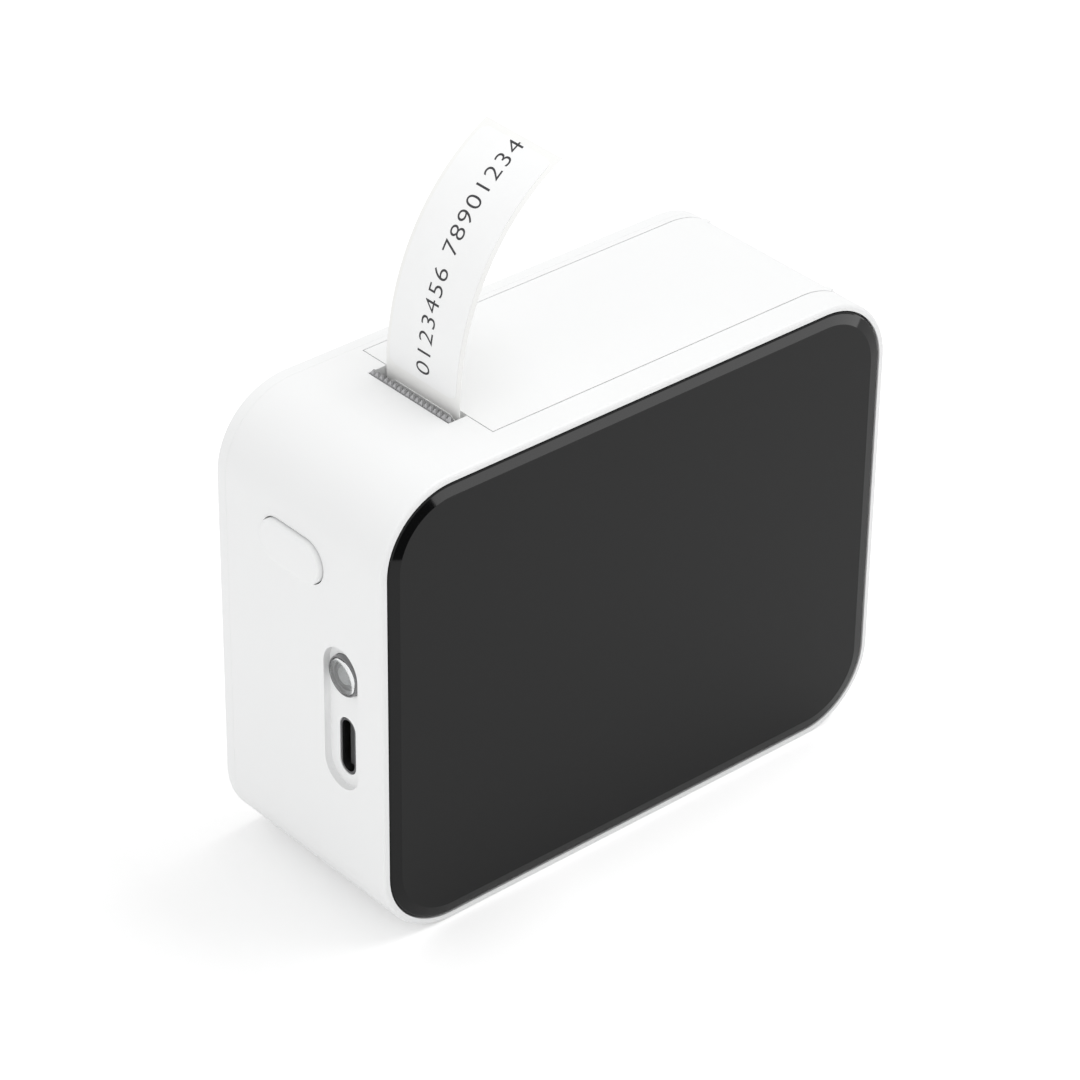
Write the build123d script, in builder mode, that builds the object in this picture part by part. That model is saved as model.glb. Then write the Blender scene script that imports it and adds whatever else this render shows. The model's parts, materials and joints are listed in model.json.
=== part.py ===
from build123d import *
import math
import os

# Portable label printer, standing upright, millimetres.
# X runs from the left end to the right end, Y from the front panel to the
# rear cover, Z up.  The origin is the centre of the bottom face.

os.makedirs("parts", exist_ok=True)

# Body
width = 92.0
height = 73.0
corner_r = 12.0
wall = 2.0
front_y = -18.0
seam_y = 15.6
back_y = 18.0
seat_depth = 1.2
rim = 1.0
front_wall_in = front_y + seat_depth + wall
back_edge = 0.6

# Front panel
panel_gap = 0.15
panel_proud = 0.3
bevel_wide = 2.2
bevel_deep = 0.45

# Lid opening and hinge
lid_left = -22.8
lid_front = -13.1
lid_back = 14.6
lid_gap = 0.15
hinge_x = 43.0
hinge_z = 55.0
barrel_r = 3.0
pin_r = 1.0
run_gap = 0.05
right_wall_top = 51.7

# Label path
tape_front = -7.6
tape_back = 7.9
tape_wide = tape_back - tape_front
tape_mid = (tape_back + tape_front) / 2
liner_t = 0.10
label_t = 0.10
label_inset = 0.75
label_len = 36.0
slot_left = -26.0
slot_front = -7.7
slot_back = 9.4
free_step = 1.1
free_steps = 36
free_len = free_step * free_steps
free_turn = 62.0
free_power = 1.22

# Platen, print head and gears
platen_x = -20.35
platen_z = 63.0
platen_r = 3.5
shaft_r = 1.5
path_gap = 0.02
head_face = platen_x - platen_r - path_gap - liner_t - label_t - 0.03
gear_m = 0.5
gear_y = 10.4
gear_t = 2.2
teeth_platen = 16
teeth_idler = 24
teeth_motor = 12
idler_dir = 234.2
motor_dir = 215.0
motor_r = 7.5

# Label roll
roll_x = 8.0
roll_z = 34.0
roll_r = 19.0
core_out = 6.4
core_in = 5.25
spindle_r = 1.95

# Controls at the left end
recess_y = -9.0
recess_z = 34.5
recess_long = 22.8
recess_wide = 7.3
recess_deep = 1.1
usb_z = 29.5
lens_z = 41.3
lens_r = 3.1
button_y = 1.0
button_z = 56.8
button_long = 13.2
button_wide = 6.8
button_proud = 0.8

posts = [(-39.2, 6.8), (39.2, 6.8), (-39.2, 66.2), (40.0, 45.0)]
board_screws_at = [(-38.5, 18.0), (14.0, 18.0)]
chassis_screws_at = [(-30.0, 49.5), (-31.5, 64.5)]
bay_screws_at = [(-10.5, 15.0), (26.5, 15.0)]


def facing(y):
    """Sketch plane at depth y with X to the right and Z up."""
    return Plane(origin=(0, y, 0), x_dir=(1, 0, 0), z_dir=(0, -1, 0))


def endwise(x):
    """Sketch plane at x with Y to the right and Z up."""
    return Plane(origin=(x, 0, 0), x_dir=(0, 1, 0), z_dir=(1, 0, 0))


def save(part, label):
    part.label = label
    export_step(part, f"parts/{label}.step")


def block(x0, x1, y0, y1, z0, z1, mode=Mode.ADD):
    """Box between two corners, added to the part in hand."""
    with Locations(((x0 + x1) / 2, (y0 + y1) / 2, (z0 + z1) / 2)):
        Box(x1 - x0, y1 - y0, z1 - z0, mode=mode)


def rod(x, z, r, y0, y1, mode=Mode.ADD):
    """Cylinder along Y between two depths."""
    with BuildSketch(facing(y0)) as disc:
        with Locations((x, z)):
            Circle(r)
    extrude(disc.sketch, amount=-(y1 - y0), mode=mode)


def stud(x, z, r, y0, y1, mode=Mode.ADD, sides=8):
    """Faceted boss or hole along Y; r is measured to its flats."""
    with BuildSketch(facing(y0)) as facets:
        with Locations((x, z)):
            RegularPolygon(r, sides, major_radius=False)
    extrude(facets.sketch, amount=-(y1 - y0), mode=mode)


def peg(y, z, r, x0, x1, mode=Mode.ADD):
    """Cylinder along X between two stations."""
    with BuildSketch(endwise(x0)) as disc:
        with Locations((y, z)):
            Circle(r)
    extrude(disc.sketch, amount=x1 - x0, mode=mode)


def outline(y0, y1, inset, mode=Mode.ADD):
    """Body outline, moved inwards by inset, between two depths."""
    with BuildSketch(facing(y0)) as profile:
        with Locations((0, height / 2)):
            RectangleRounded(
                width - 2 * inset, height - 2 * inset, corner_r - inset
            )
    extrude(profile.sketch, amount=-(y1 - y0), mode=mode)


def pill(y, z, along_y, along_z, x0, x1, mode=Mode.ADD):
    """Stadium on the left end, long along Y or along Z."""
    turn = 0 if along_y > along_z else 90
    with BuildSketch(endwise(x0)) as stadium:
        with Locations((y, z)):
            SlotOverall(max(along_y, along_z), min(along_y, along_z), rotation=turn)
    extrude(stadium.sketch, amount=x1 - x0, mode=mode)


# Label path as a list of stations: place, and the unit normal that points
# to the printed side.  It leaves the roll on a common tangent, bends round
# the platen, rises through the slot and then leans over to the right.
web_r = platen_r + path_gap + liner_t / 2
to_platen = (platen_x - roll_x, platen_z - roll_z)
reach = math.hypot(*to_platen)
lean = math.acos((roll_r + liner_t - web_r) / reach)
touch = math.atan2(to_platen[1], to_platen[0]) + lean
path_n = (math.cos(touch), math.sin(touch))
leave = roll_r + liner_t
web_path = []
line_from = (roll_x + leave * path_n[0], roll_z + leave * path_n[1])
line_to = (platen_x + web_r * path_n[0], platen_z + web_r * path_n[1])
line_len = math.dist(line_from, line_to)
bend = touch - math.pi
bend_len = web_r * bend
rise_len = height - platen_z
slot_at = line_len + bend_len + rise_len
web_len = slot_at + free_len


def free_angle(s):
    """Lean of the free tape from upright, s above the slot."""
    return math.radians(free_turn) * (s / free_len) ** free_power


def station(s):
    """Place and normal of the liner's middle, s along from the roll."""
    if s <= line_len:
        part_way = s / line_len
        x = line_from[0] + part_way * (line_to[0] - line_from[0])
        z = line_from[1] + part_way * (line_to[1] - line_from[1])
        return (x, z, path_n[0], path_n[1])
    if s <= line_len + bend_len:
        a = touch - (s - line_len) / web_r
        n = (math.cos(a), math.sin(a))
        return (platen_x + web_r * n[0], platen_z + web_r * n[1], n[0], n[1])
    if s <= slot_at:
        z = platen_z + s - line_len - bend_len
        return (platen_x - web_r, z, -1.0, 0.0)
    steps = 60
    ds = (s - slot_at) / steps
    x = platen_x - web_r
    z = height
    for i in range(steps):
        a = free_angle((i + 0.5) * ds)
        x += math.sin(a) * ds
        z += math.cos(a) * ds
    a = free_angle(s - slot_at)
    return (x, z, -math.cos(a), math.sin(a))


def strip_points(s0, s1, inner, outer):
    """Closed outline of a strip that lies between two offsets."""
    marks = [line_len, line_len + bend_len / 2, line_len + bend_len, slot_at]
    marks += [slot_at + i * free_step for i in range(1, free_steps)]
    marks = [s for s in marks if s0 + 0.05 < s < s1 - 0.05]
    marks = [s0] + marks + [s1]
    near = []
    far = []
    for s in marks:
        x, z, nx, nz = station(s)
        near.append((x + inner * nx, z + inner * nz))
        far.append((x + outer * nx, z + outer * nz))
    return near + far[::-1]


def gear_points(teeth, phase, x, z):
    """Involute outline of a spur gear with a tooth centred at phase."""
    pitch_r = gear_m * teeth / 2
    base_r = pitch_r * math.cos(math.radians(20))
    tip_r = pitch_r + 0.95 * gear_m
    root_r = pitch_r - 1.25 * gear_m
    inv_pitch = math.tan(math.radians(20)) - math.radians(20)
    half = math.pi / (2 * teeth) - 0.035 / pitch_r
    radii = [root_r]
    start = max(base_r, root_r + 0.02)
    for i in range(3):
        radii.append(start + (tip_r - start) * i / 2)
    flank = []
    for r in radii:
        roll = math.acos(min(1.0, base_r / max(r, base_r)))
        flank.append((r, half + inv_pitch - (math.tan(roll) - roll)))
    points = []
    for k in range(teeth):
        middle = math.radians(phase) + 2 * math.pi * k / teeth
        for r, a in flank:
            points.append((x + r * math.cos(middle - a), z + r * math.sin(middle - a)))
        for r, a in reversed(flank):
            points.append((x + r * math.cos(middle + a), z + r * math.sin(middle + a)))
    return points


def outline_of(points, y0, y1, mode=Mode.ADD):
    """Extrude a closed list of points between two depths."""
    with BuildSketch(facing(y0)) as profile:
        with BuildLine():
            Polyline(*points, close=True)
        make_face()
    extrude(profile.sketch, amount=-(y1 - y0), mode=mode)


def coil_spring(x0, x1, y, z, r, wire, turns, steps=10):
    """Compression spring along X, as a bent wire of short straight runs."""
    runs = turns * steps
    points = []
    for i in range(runs + 1):
        a = 2 * math.pi * i / steps
        x = x0 + (x1 - x0) * i / runs
        points.append((x, y + r * math.cos(a), z + r * math.sin(a)))
    with BuildLine() as bent:
        Polyline(*points)
    path = bent.line
    with BuildSketch(Plane(origin=path @ 0, z_dir=path % 0)) as section:
        RegularPolygon(wire, 6, major_radius=False)
    sweep(section.sketch, path=path, transition=Transition.RIGHT)


# Gear centres and tooth phases, so that teeth sit in gaps at rest.
idler_gap = gear_m * (teeth_platen + teeth_idler) / 2
idler_x = platen_x + idler_gap * math.cos(math.radians(idler_dir))
idler_z = platen_z + idler_gap * math.sin(math.radians(idler_dir))
motor_gap = gear_m * (teeth_idler + teeth_motor) / 2
motor_x = idler_x + motor_gap * math.cos(math.radians(motor_dir))
motor_z = idler_z + motor_gap * math.sin(math.radians(motor_dir))
platen_phase = idler_dir
idler_phase = idler_dir + 180 + 180 / teeth_idler
slip = (motor_dir - idler_phase) % (360 / teeth_idler)
motor_phase = motor_dir + 180 + slip * teeth_idler / teeth_motor
motor_phase += 180 / teeth_motor

# Main shell: a deep tray with a front wall that the panel is glued to.
with BuildPart() as main_shell:
    outline(front_y, seam_y, 0)
    outline(front_wall_in, seam_y, wall, Mode.SUBTRACT)
    outline(front_y, front_y + seat_depth, rim, Mode.SUBTRACT)
    rod(hinge_x, hinge_z, barrel_r, front_wall_in, lid_front)
    block(hinge_x, width / 2 - wall, front_wall_in, lid_front, hinge_z - 6, hinge_z)
    block(lid_left, 50, lid_front, lid_back, right_wall_top, 80, Mode.SUBTRACT)
    block(slot_left, lid_left + 0.1, slot_front, slot_back, 68, 80, Mode.SUBTRACT)
    rod(hinge_x, hinge_z, barrel_r, lid_back, seam_y)
    rod(hinge_x, hinge_z, pin_r + 0.01, front_y + 2.0, seam_y, Mode.SUBTRACT)
    pill(recess_y, recess_z, recess_wide, recess_long,
         -width / 2, -width / 2 + recess_deep, Mode.SUBTRACT)
    pill(recess_y, usb_z, 3.4, 9.2, -width / 2, -43, Mode.SUBTRACT)
    peg(recess_y, lens_z, lens_r + run_gap, -width / 2, -43, Mode.SUBTRACT)
    pill(button_y, button_z, button_long + 0.2, button_wide + 0.2,
         -width / 2, -43, Mode.SUBTRACT)
    for x, z in board_screws_at:
        stud(x, z, 2.1, front_wall_in, -12.2)
        stud(x, z, 0.82, -13.9, -12.2, Mode.SUBTRACT)
    for x, z in chassis_screws_at:
        stud(x, z, 2.1, front_wall_in, -9.9)
        stud(x, z, 0.82, -14.2, -9.9, Mode.SUBTRACT)
    for x, z in posts:
        stud(x, z, 1.2, front_y, front_wall_in, Mode.SUBTRACT)
        stud(x, z, 2.1, front_y, front_y + seat_depth + 1.0, Mode.SUBTRACT)
    # Ribs that locate the battery on the floor
    block(-31.6, -30.4, -14.8, 12.0, 1.5, 6.0)
    block(30.4, 31.6, -14.8, 12.0, 1.5, 6.0)
    # Ledge under the top wall that the tear bar is clamped to
    block(slot_left - 1.6, slot_left, slot_front, slot_back, 68.8, 71.5)
save(main_shell.part, "main_shell")

# Rear cover with a locating lip and four posts that reach the front wall.
with BuildPart() as rear_cover:
    outline(seam_y, back_y, 0)
    rear_edges = rear_cover.faces().sort_by(Axis.Y)[-1].edges()
    chamfer(rear_edges, back_edge)
    outline(seam_y - 2.0, seam_y, wall + 0.12)
    outline(seam_y - 2.0, seam_y, wall + 1.3, Mode.SUBTRACT)
    block(slot_left - 3, 50, 10, seam_y, 49, 80, Mode.SUBTRACT)
    for x, z in posts:
        stud(x, z, 2.3, front_wall_in, seam_y + 0.5)
        stud(x, z, 1.0, front_wall_in, front_wall_in + 8, Mode.SUBTRACT)
    for x, z in bay_screws_at:
        stud(x, z, 2.1, 9.7, seam_y + 0.5)
        stud(x, z, 0.82, 9.7, 14.5, Mode.SUBTRACT)
save(rear_cover.part, "rear_cover")

# Front panel: flat sheet whose edge falls away in a wide shallow bevel.
panel_w = width - 2 * (rim + panel_gap)
panel_h = height - 2 * (rim + panel_gap)
panel_r = corner_r - rim - panel_gap
panel_front = front_y - panel_proud
with BuildPart() as front_panel:
    outline(panel_front + bevel_deep, front_y + seat_depth, rim + panel_gap)
    with BuildSketch(facing(panel_front + bevel_deep)):
        with Locations((0, height / 2)):
            RectangleRounded(panel_w, panel_h, panel_r)
    with BuildSketch(facing(panel_front)):
        with Locations((0, height / 2)):
            RectangleRounded(
                panel_w - 2 * bevel_wide,
                panel_h - 2 * bevel_wide,
                panel_r - bevel_wide,
            )
    loft()
save(front_panel.part, "front_panel")

# Housing screws, hidden behind the front panel.
with BuildPart() as housing_screws:
    for x, z in posts:
        stud(x, z, 1.9, front_y + seat_depth + 0.1, front_y + seat_depth + 1.0)
        stud(x, z, 0.95, front_y + seat_depth + 0.5, front_wall_in + 7)
        block(x - 0.3, x + 0.3, -16.8, -16.2, z - 1.2, z + 1.2, Mode.SUBTRACT)
save(housing_screws.part, "housing_screws")

# Lid: top skin that turns down over the right corner into a hinge barrel.
ear_spans = ((-10.2, -8.8), (8.7, 10.2))
with BuildPart() as lid:
    outline(lid_front + lid_gap, lid_back - lid_gap, 0)
    outline(lid_front, lid_back, wall, Mode.SUBTRACT)
    block(-60, lid_left + lid_gap, -20, 20, -10, 90, Mode.SUBTRACT)
    block(-60, 60, -20, 20, -10, hinge_z, Mode.SUBTRACT)
    rod(hinge_x, hinge_z, barrel_r, lid_front + lid_gap, lid_back - lid_gap)
    rod(hinge_x, hinge_z, pin_r + run_gap, lid_front, lid_back, Mode.SUBTRACT)
    # Stiffening ribs under the skin
    block(-18.5, 40.5, -12.6, -11.4, 67.0, 71.5)
    block(-15.5, 40.5, 13.0, 14.2, 67.0, 71.5)
    for x in (-8.0, 10.0, 28.0):
        block(x, x + 1.2, -12.0, 13.5, 69.3, 71.5)
    # Ears for the platen bushings
    for y0, y1 in ear_spans:
        block(lid_left + 0.2, platen_x + 4.0, y0, y1, platen_z, 71.5)
        rod(platen_x, platen_z, 2.85, y0, y1)
        rod(platen_x, platen_z, 2.1, y0, y1, Mode.SUBTRACT)
    # Catch that the release slider holds down
    block(-22.5, -21.7, -12.6, -10.8, 60.4, 71.5)
    block(-22.0, -20.5, -12.6, -10.8, 60.4, 61.6)
save(lid.part, "lid")

with BuildPart() as hinge_pin:
    rod(hinge_x, hinge_z, pin_r, front_y + 2.1, seam_y - 0.1)
save(hinge_pin.part, "hinge_pin")

# Tear bar: steel strip, clamped under the top wall, with a row of teeth
# that leans towards the tape.
bar_teeth = 18
bar_t = 0.4
bar_x = slot_left + 0.05
bar_root = height - 0.55
tooth_h = 1.25
tooth_w = (slot_back - slot_front - 0.1) / bar_teeth
bar_lean = Plane(
    origin=(bar_x, 0, bar_root),
    x_dir=(0, 1, 0),
    z_dir=(math.cos(math.radians(22)), 0, -math.sin(math.radians(22))),
)
with BuildPart() as tear_bar:
    block(bar_x, bar_x + bar_t, slot_front + 0.05, slot_back - 0.05, 68.6, bar_root + 0.1)
    saw = [(slot_front + 0.05, 0)]
    for i in range(bar_teeth):
        left = slot_front + 0.05 + i * tooth_w
        saw.append((left, 0.45))
        saw.append((left + tooth_w / 2, tooth_h))
    saw.append((slot_back - 0.05, 0.45))
    saw.append((slot_back - 0.05, 0))
    with BuildSketch(bar_lean):
        with BuildLine():
            Polyline(*saw, close=True)
        make_face()
    extrude(amount=bar_t)
save(tear_bar.part, "tear_bar")

# Platen roller on its shaft, in two flanged bushings in the lid's ears.
with BuildPart() as platen_shaft:
    rod(platen_x, platen_z, shaft_r, -10.6, 12.8)
save(platen_shaft.part, "platen_shaft")

with BuildPart() as platen_roller:
    rod(platen_x, platen_z, platen_r, -8.4, 8.2)
    rod(platen_x, platen_z, shaft_r, -8.4, 8.2, Mode.SUBTRACT)
save(platen_roller.part, "platen_roller")

with BuildPart() as platen_bushings:
    for y0, y1 in ear_spans:
        rod(platen_x, platen_z, 2.1, y0, y1)
        rod(platen_x, platen_z, shaft_r + 0.04, y0, y1, Mode.SUBTRACT)
save(platen_bushings.part, "platen_bushings")

with BuildPart() as platen_gear:
    outline_of(gear_points(teeth_platen, platen_phase, platen_x, platen_z),
               gear_y, gear_y + gear_t)
    rod(platen_x, platen_z, shaft_r, gear_y, gear_y + gear_t, Mode.SUBTRACT)
save(platen_gear.part, "platen_gear")

# Chassis: two side plates, a shelf and a back wall, moulded in one.
with BuildPart() as print_chassis:
    block(-36.5, -23.5, 8.6, 9.9, 41.5, 68.0)
    block(-41.0, -30.0, 8.6, 9.9, 41.5, 56.5)
    block(-36.5, -23.5, -9.9, -8.7, 46.8, 68.0)
    block(-36.5, -25.0, -9.0, 9.0, 57.3, 58.4)
    block(-35.2, -34.2, -9.0, 9.0, 58.0, 68.0)
    rod(motor_x, motor_z, 1.6, 8.6, 9.9, Mode.SUBTRACT)
    rod(idler_x, idler_z, 0.98, 8.6, 9.9, Mode.SUBTRACT)
    for x, z in chassis_screws_at:
        stud(x, z, 1.0, -9.9, -8.7, Mode.SUBTRACT)
    for x in (-34.0, -29.5):
        block(x, x + 2.0, -6.0, 6.0, 57.0, 59.0, Mode.SUBTRACT)
save(print_chassis.part, "print_chassis")

with BuildPart() as chassis_screws:
    for x, z in chassis_screws_at:
        stud(x, z, 0.78, -13.8, -8.4)
        stud(x, z, 1.55, -8.7, -7.7)
        block(x - 0.2, x + 0.2, -8.1, -7.7, z - 1.0, z + 1.0, Mode.SUBTRACT)
save(chassis_screws.part, "chassis_screws")

# Print head: ceramic strip with its heater line, bonded to a heat sink.
with BuildPart() as print_head:
    block(head_face - 0.65, head_face, -8.2, 8.2, 58.8, 68.0)
    block(head_face - 1.6, head_face - 0.65, -6.0, 6.0, 65.4, 67.8)
save(print_head.part, "print_head")

with BuildPart() as heat_sink:
    block(-28.6, head_face - 0.65, -8.2, 8.2, 58.6, 68.2)
    block(head_face - 1.7, head_face, -6.2, 6.2, 65.2, 69.0, Mode.SUBTRACT)
    for i in range(5):
        z = 59.6 + i * 1.75
        block(-29.0, -26.8, -9.0, 9.0, z, z + 0.75, Mode.SUBTRACT)
save(heat_sink.part, "heat_sink")

with BuildPart() as head_spring:
    coil_spring(-33.95, -28.85, 0.15, 63.45, 1.7, 0.2, 5)
save(head_spring.part, "head_spring")

with BuildPart() as gap_sensor:
    block(-25.9, -23.6, -3.0, 3.0, 53.6, 57.3)
    block(-23.6, -23.3, -2.0, -0.4, 54.4, 56.4)
    block(-23.6, -23.3, 0.4, 2.0, 54.4, 56.4)
save(gap_sensor.part, "gap_sensor")

# Gear train: motor pinion, idler and its fixed axle.
with BuildPart() as idler_axle:
    rod(idler_x, idler_z, 0.96, 8.6, 13.1)
    rod(idler_x, idler_z, 1.6, gear_y + gear_t + 0.12, gear_y + gear_t + 0.6)
save(idler_axle.part, "idler_axle")

with BuildPart() as idler_gear:
    outline_of(gear_points(teeth_idler, idler_phase, idler_x, idler_z),
               gear_y, gear_y + gear_t)
    rod(idler_x, idler_z, 1.0, gear_y, gear_y + gear_t, Mode.SUBTRACT)
    for i in range(5):
        a = math.radians(72 * i + 10)
        stud(idler_x + 3.2 * math.cos(a), idler_z + 3.2 * math.sin(a), 0.9,
             gear_y, gear_y + gear_t, Mode.SUBTRACT, 6)
save(idler_gear.part, "idler_gear")

with BuildPart() as motor_pinion:
    outline_of(gear_points(teeth_motor, motor_phase, motor_x, motor_z),
               gear_y, gear_y + gear_t)
    rod(motor_x, motor_z, 1.0, gear_y, gear_y + gear_t, Mode.SUBTRACT)
save(motor_pinion.part, "motor_pinion")

with BuildPart() as motor_shaft:
    rod(motor_x, motor_z, 1.0, 6.4, gear_y + gear_t + 0.3)
save(motor_shaft.part, "motor_shaft")

with BuildPart() as stepper_motor:
    rod(motor_x, motor_z, motor_r, -4.0, 8.6)
    rod(motor_x, motor_z, 1.5, 8.6, 9.5)
    rod(motor_x, motor_z, 1.05, 6.2, 9.5, Mode.SUBTRACT)
    block(motor_x - 3, motor_x + 3, -1.0, 5.0, motor_z - 8.6, motor_z - 7.0)
save(stepper_motor.part, "stepper_motor")

# Label roll on its core and spindle.
with BuildPart() as label_roll:
    rod(roll_x, roll_z, roll_r, tape_front, tape_back)
    rod(roll_x, roll_z, core_out, tape_front, tape_back, Mode.SUBTRACT)
save(label_roll.part, "label_roll")

with BuildPart() as roll_core:
    rod(roll_x, roll_z, core_out, tape_front, tape_back)
    rod(roll_x, roll_z, core_in, tape_front, tape_back, Mode.SUBTRACT)
save(roll_core.part, "roll_core")

with BuildPart() as roll_spindle:
    rod(roll_x, roll_z, spindle_r, -9.35, 9.65)
    rod(roll_x, roll_z, core_in, tape_front, tape_back)
    for i in range(4):
        a = math.radians(90 * i + 45)
        stud(roll_x + 3.5 * math.cos(a), roll_z + 3.5 * math.sin(a), 1.0,
             tape_front, tape_back, Mode.SUBTRACT, 6)
save(roll_spindle.part, "roll_spindle")

# Roll bay: side plates with U slots for the spindle, and a trough below.
bay_spans = ((-9.4, -8.2), (8.5, 9.7))
with BuildPart() as roll_bay:
    rod(roll_x, roll_z, 21.2, -8.8, 9.1)
    rod(roll_x, roll_z, 20.0, -8.8, 9.1, Mode.SUBTRACT)
    block(-40, 60, -20, 20, roll_z - 9.6, 90, Mode.SUBTRACT)
    for y0, y1 in bay_spans:
        block(-13.0, 29.0, y0, y1, 12.8, 46.0)
        rod(roll_x, roll_z, spindle_r + run_gap, y0, y1, Mode.SUBTRACT)
        block(roll_x - 2, roll_x + 2, y0, y1, roll_z, 60, Mode.SUBTRACT)
    for x, z in bay_screws_at:
        stud(x, z, 1.0, 8.5, 9.7, Mode.SUBTRACT)
        stud(x, z, 2.0, -9.4, -8.2, Mode.SUBTRACT)
save(roll_bay.part, "roll_bay")

with BuildPart() as bay_screws:
    for x, z in bay_screws_at:
        stud(x, z, 0.78, 8.2, 13.8)
        stud(x, z, 1.55, 7.6, 8.5)
        block(x - 0.2, x + 0.2, 7.6, 8.0, z - 1.0, z + 1.0, Mode.SUBTRACT)
save(bay_screws.part, "bay_screws")

# Liner strip from the roll to its free end, with die cut labels on it.
with BuildPart() as liner_tape:
    outline_of(strip_points(0.0, web_len, -liner_t / 2, liner_t / 2),
               tape_front, tape_back)
save(liner_tape.part, "liner_tape")

label_from = slot_at + 2 * free_step
with BuildPart() as printed_label:
    outline_of(
        strip_points(label_from, web_len - free_step, liner_t / 2, liner_t / 2 + label_t),
        tape_front + label_inset, tape_back - label_inset)
save(printed_label.part, "printed_label")

with BuildPart() as next_label:
    outline_of(
        strip_points(slot_at - label_len, slot_at - 0.3,
                     liner_t / 2, liner_t / 2 + label_t),
        tape_front + label_inset, tape_back - label_inset)
save(next_label.part, "next_label")

# Board with its parts, standing behind the front wall.
board_top = 46.0
with BuildPart() as main_board:
    block(-41.8, 20.0, -12.2, -10.6, 13.0, board_top)
    for x, z in board_screws_at:
        stud(x, z, 1.0, -12.2, -10.6, Mode.SUBTRACT)
save(main_board.part, "main_board")

with BuildPart() as board_screws:
    for x, z in board_screws_at:
        stud(x, z, 0.78, -13.7, -10.3)
        stud(x, z, 1.45, -10.6, -9.8)
        block(x - 0.2, x + 0.2, -10.1, -9.8, z - 1.0, z + 1.0, Mode.SUBTRACT)
save(board_screws.part, "board_screws")

chips = [(-28.0, 30.0, 7.0, 7.0, 0.9), (-14.0, 36.0, 5.0, 5.0, 0.9),
         (-12.0, 22.0, 4.0, 5.0, 1.2), (2.0, 30.0, 4.0, 4.0, 1.4)]
with BuildPart() as board_chips:
    for x, z, w, h, t in chips:
        block(x - w / 2, x + w / 2, -12.2 - t, -12.2, z - h / 2, z + h / 2)
save(board_chips.part, "board_chips")

with BuildPart() as board_connectors:
    block(-34.0, -27.0, -10.6, -8.2, 15.0, 19.0)
    block(-33.2, -27.8, -8.8, -8.2, 15.6, 18.4, Mode.SUBTRACT)
    block(-24.0, -16.0, -10.6, -9.4, 40.0, 43.2)
save(board_connectors.part, "board_connectors")

with BuildPart() as usb_shell:
    pill(recess_y, usb_z, 3.16, 8.94, -44.8, -37.6)
    pill(recess_y, usb_z, 2.56, 8.34, -44.8, -38.2, Mode.SUBTRACT)
save(usb_shell.part, "usb_shell")

with BuildPart() as usb_tongue:
    block(-44.1, -38.2, recess_y - 0.35, recess_y + 0.35, usb_z - 3.35, usb_z + 3.35)
save(usb_tongue.part, "usb_tongue")

with BuildPart() as power_switch:
    block(-41.4, -38.2, -10.6, -7.4, lens_z - 2.2, lens_z + 2.2)
    peg(recess_y, lens_z, 0.9, -42.0, -41.0)
save(power_switch.part, "power_switch")

with BuildPart() as status_led:
    block(-41.7, -40.3, -10.6, -9.9, 44.0, 45.4)
save(status_led.part, "status_led")

with BuildPart() as power_lens:
    peg(recess_y, lens_z, lens_r, -46.0, -43.3)
    peg(recess_y, lens_z, lens_r + 0.8, -43.9, -43.1)
    peg(recess_y, lens_z, 1.3, -43.3, -42.5)
    lens_rim = power_lens.faces().sort_by(Axis.X)[0].edges()
    chamfer(lens_rim, 0.25)
save(power_lens.part, "power_lens")

# Battery on foam tape on the floor.
with BuildPart() as battery:
    block(-30.0, 30.0, -13.0, 11.5, 3.0, 10.4)
    long_edges = battery.edges().filter_by(Axis.X)
    fillet(long_edges, 2.0)
    block(30.0, 30.3, -12.0, 10.5, 4.0, 9.4)
save(battery.part, "battery")

with BuildPart() as battery_pad:
    block(-24.0, 24.0, -10.0, 8.5, 2.0, 3.0)
save(battery_pad.part, "battery_pad")

# Release button and the slider behind it, whose nose holds the lid down.
with BuildPart() as release_button:
    pill(button_y, button_z, button_long, button_wide,
         -width / 2 - button_proud, -43.5)
    button_rim = release_button.faces().sort_by(Axis.X)[0].edges()
    chamfer(button_rim, 0.35)
    pill(button_y, button_z, 15.0, 8.6, -43.9, -42.9)
save(release_button.part, "release_button")

nose = [(-20.2, 61.75), (-21.5, 61.75), (-21.5, 62.3), (-20.2, 63.9)]
with BuildPart() as latch_slider:
    block(-42.9, -41.7, -12.6, 6.0, 54.0, 62.4)
    block(-42.9, -18.9, -12.6, -10.9, 56.2, 58.8)
    block(-20.2, -18.9, -12.6, -10.9, 57.0, 63.9)
    outline_of(nose, -12.6, -10.9)
save(latch_slider.part, "latch_slider")

with BuildPart() as latch_spring:
    coil_spring(-41.5, -37.1, 1.0, 60.3, 1.5, 0.17, 5)
save(latch_spring.part, "latch_spring")
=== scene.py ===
# %% [markdown]
# # A pocket label printer, dressed in Blender
# The CAD model already holds every piece of the printer at its real size.
# This lesson keeps that model as a fixed frame and gives it its looks: soft
# edges, real finishes, the curling label and the fine parts under the lid.

# %% Load the frame
import bpy
import bmesh
import json
import math
import random
from mathutils import Matrix, Vector

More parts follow.
